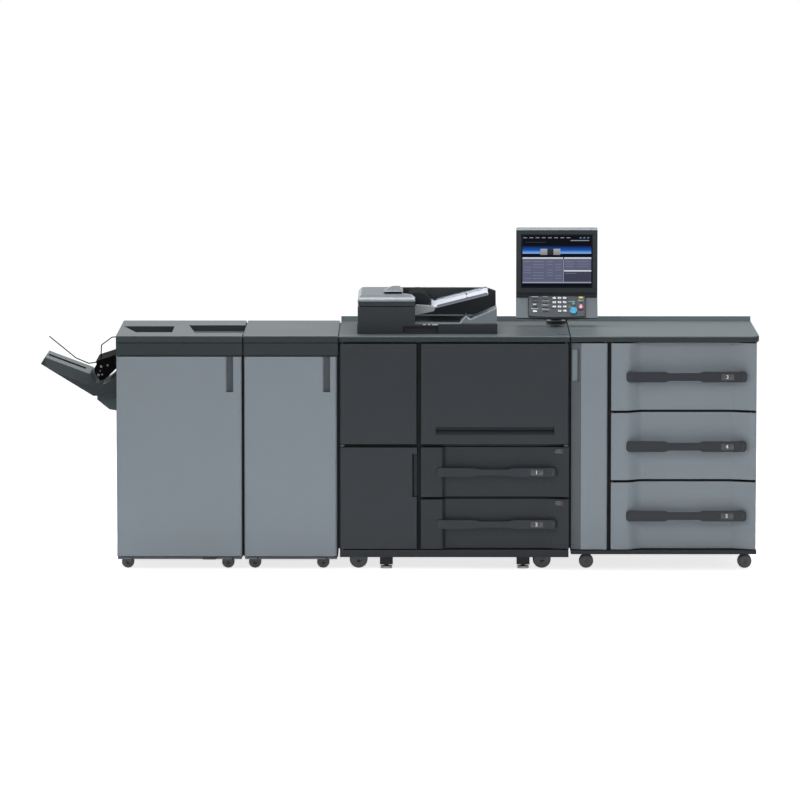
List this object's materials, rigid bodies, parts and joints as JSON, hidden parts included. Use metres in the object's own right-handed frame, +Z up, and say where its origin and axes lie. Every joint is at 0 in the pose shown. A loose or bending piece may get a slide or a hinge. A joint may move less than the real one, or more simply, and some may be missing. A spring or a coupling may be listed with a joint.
{
  "type": "digital production printer",
  "caption": "Production printing line in one row: finisher with output tray, relay unit, main engine with document feeder and control panel, and a three-drawer paper feed unit.",
  "frame": {"origin": "on the floor under the middle of the row's overall box", "axes": "+X from the finisher's tray to the paper feed unit, the doors face -Y, +Z up"},
  "size_m": [3.1, 0.737, 1.443],
  "materials": {
    "door_grey": "satin powder coat, blue-grey",
    "panel_dark": "satin, charcoal",
    "frame_dark": "satin, charcoal",
    "skirt_black": "matte",
    "kick_pale": "satin",
    "worktop": "fine grained",
    "plastic_black": "satin moulded",
    "wire": "coated wire",
    "plastic_dark": "moulded",
    "plastic_pale": "moulded",
    "keypad": "moulded",
    "screen": "glossy display glass",
    "glass": "clear platen glass over a dark scanner",
    "zinc": "zinc plated",
    "caster_dark": "satin black",
    "steel_sheet": "galvanized sheet",
    "caster_rubber": "moulded tread",
    "foot_black": "moulded, pale pad underneath",
    "tray_pale": "moulded"
  },
  "bodies": {
    "machine": {"finisher_frame": "frame_dark", "finisher_top": "panel_dark", "finisher_kick": "kick_pale", "exit_unit": "plastic_black", "paper_stoppers": "wire", "relay_frame": "frame_dark", "relay_top": "panel_dark", "relay_kick": "kick_pale", "main_frame": "frame_dark", "main_worktop": "worktop", "main_skirt": "skirt_black", "platen_glass": "glass", "levelling_feet": "foot_black", "feed_frame": "frame_dark", "feed_worktop": "worktop", "feed_skirt": "skirt_black", "docking_frames": "skirt_black", "door_hinges": "zinc", "caster_forks": "caster_dark", "caster_wheels": "caster_rubber", "rear_covers": "frame_dark", "side_covers": "door_grey", "feeder_hinges": "zinc", "panel_stand": "plastic_dark"},
    "finisher_door": {"finisher_door": "door_grey"},
    "relay_door": {"relay_door": "door_grey"},
    "upper_left_door": {"upper_left_door": "panel_dark"},
    "lower_left_door": {"lower_left_door": "panel_dark"},
    "right_door": {"right_door": "panel_dark"},
    "feed_door": {"feed_door": "door_grey"},
    "drawer_1": {"drawer_1_front": "panel_dark", "drawer_1_handle": "plastic_black", "drawer_1_bin": "steel_sheet"},
    "drawer_2": {"drawer_2_front": "panel_dark", "drawer_2_handle": "plastic_black", "drawer_2_bin": "steel_sheet"},
    "drawer_3": {"drawer_3_front": "door_grey", "drawer_3_handle": "plastic_black", "drawer_3_bin": "steel_sheet"},
    "drawer_4": {"drawer_4_front": "door_grey", "drawer_4_handle": "plastic_black", "drawer_4_bin": "steel_sheet"},
    "drawer_5": {"drawer_5_front": "door_grey", "drawer_5_handle": "plastic_black", "drawer_5_bin": "steel_sheet"},
    "output_tray": {"output_tray": "plastic_dark", "tray_carriage": "plastic_black"},
    "document_feeder": {"feeder_lid": "plastic_dark", "feeder_housing": "plastic_dark", "roller_cover": "plastic_black", "tray_arms": "plastic_pale"},
    "feeder_cover": {"feeder_cover": "plastic_dark", "cover_grip": "plastic_dark"},
    "document_tray": {"document_tray": "tray_pale"},
    "guide_front": {"guide_front": "tray_pale"},
    "guide_rear": {"guide_rear": "tray_pale"},
    "panel_neck": {"panel_neck": "plastic_black"},
    "panel": {"panel_housing": "plastic_dark", "panel_screen": "screen", "panel_keypad": "keypad"}
  },
  "joints": [
    {"name": "finisher_door_hinge", "type": "hinge", "parent": "machine", "child": "finisher_door", "pos_m": [-1.202, -0.3465, 0.4935], "axis": [0, 0, -1], "range_deg": [0, 95]},
    {"name": "relay_door_hinge", "type": "hinge", "parent": "machine", "child": "relay_door", "pos_m": [-0.653, -0.3465, 0.4935], "axis": [0, 0, -1], "range_deg": [0, 95]},
    {"name": "upper_left_door_hinge", "type": "hinge", "parent": "machine", "child": "upper_left_door", "pos_m": [-0.242, -0.3465, 0.76525], "axis": [0, 0, -1], "range_deg": [0, 95]},
    {"name": "lower_left_door_hinge", "type": "hinge", "parent": "machine", "child": "lower_left_door", "pos_m": [-0.242, -0.3465, 0.31375], "axis": [0, 0, -1], "range_deg": [0, 95]},
    {"name": "right_door_hinge", "type": "hinge", "parent": "machine", "child": "right_door", "pos_m": [0.721, -0.3465, 0.76525], "axis": [0, 0, 1], "range_deg": [0, 95]},
    {"name": "feed_door_hinge", "type": "hinge", "parent": "machine", "child": "feed_door", "pos_m": [0.887, -0.3465, 0.538], "axis": [0, 0, 1], "range_deg": [0, 90]},
    {"name": "drawer_1_slide", "type": "slide", "parent": "machine", "child": "drawer_1", "axis": [0, -1, 0], "range_m": [0, 0.48]},
    {"name": "drawer_2_slide", "type": "slide", "parent": "machine", "child": "drawer_2", "axis": [0, -1, 0], "range_m": [0, 0.48]},
    {"name": "drawer_3_slide", "type": "slide", "parent": "machine", "child": "drawer_3", "axis": [0, -1, 0], "range_m": [0, 0.48]},
    {"name": "drawer_4_slide", "type": "slide", "parent": "machine", "child": "drawer_4", "axis": [0, -1, 0], "range_m": [0, 0.48]},
    {"name": "drawer_5_slide", "type": "slide", "parent": "machine", "child": "drawer_5", "axis": [0, -1, 0], "range_m": [0, 0.48]},
    {"name": "output_tray_lift", "type": "slide", "parent": "machine", "child": "output_tray", "axis": [0, 0, -1], "range_m": [0, 0.48]},
    {"name": "feeder_lift", "type": "hinge", "parent": "machine", "child": "document_feeder", "pos_m": [0.1235, 0.2585, 1.045], "axis": [-1, 0, 0], "range_deg": [0, 60]},
    {"name": "feeder_cover_hinge", "type": "hinge", "parent": "document_feeder", "child": "feeder_cover", "pos_m": [-0.1545, -0.0065, 1.1565], "axis": [0, -1, 0], "range_deg": [0, 70]},
    {"name": "document_tray_hinge", "type": "hinge", "parent": "document_feeder", "child": "document_tray", "pos_m": [0.147, -0.001, 1.115], "axis": [0, -1, 0], "range_deg": [0, 25]},
    {"name": "front_guide_slide", "type": "slide", "parent": "document_tray", "child": "guide_front", "axis": [0, 1, 0], "range_m": [0, 0.08]},
    {"name": "rear_guide_slide", "type": "slide", "parent": "document_tray", "child": "guide_rear", "axis": [0, -1, 0], "range_m": [0, 0.08]},
    {"name": "panel_swivel", "type": "hinge", "parent": "machine", "child": "panel_neck", "pos_m": [0.69, 0.2315, 1.075], "axis": [0, 0, 1], "range_deg": [-30, 30]},
    {"name": "panel_tilt", "type": "hinge", "parent": "panel_neck", "child": "panel", "pos_m": [0.69, 0.1775, 1.205], "axis": [-1, 0, 0], "range_deg": [-5, 15]}
  ],
  "couplings": [
    {"joint": "rear_guide_slide", "follows": "front_guide_slide", "ratio": 1}
  ]
}
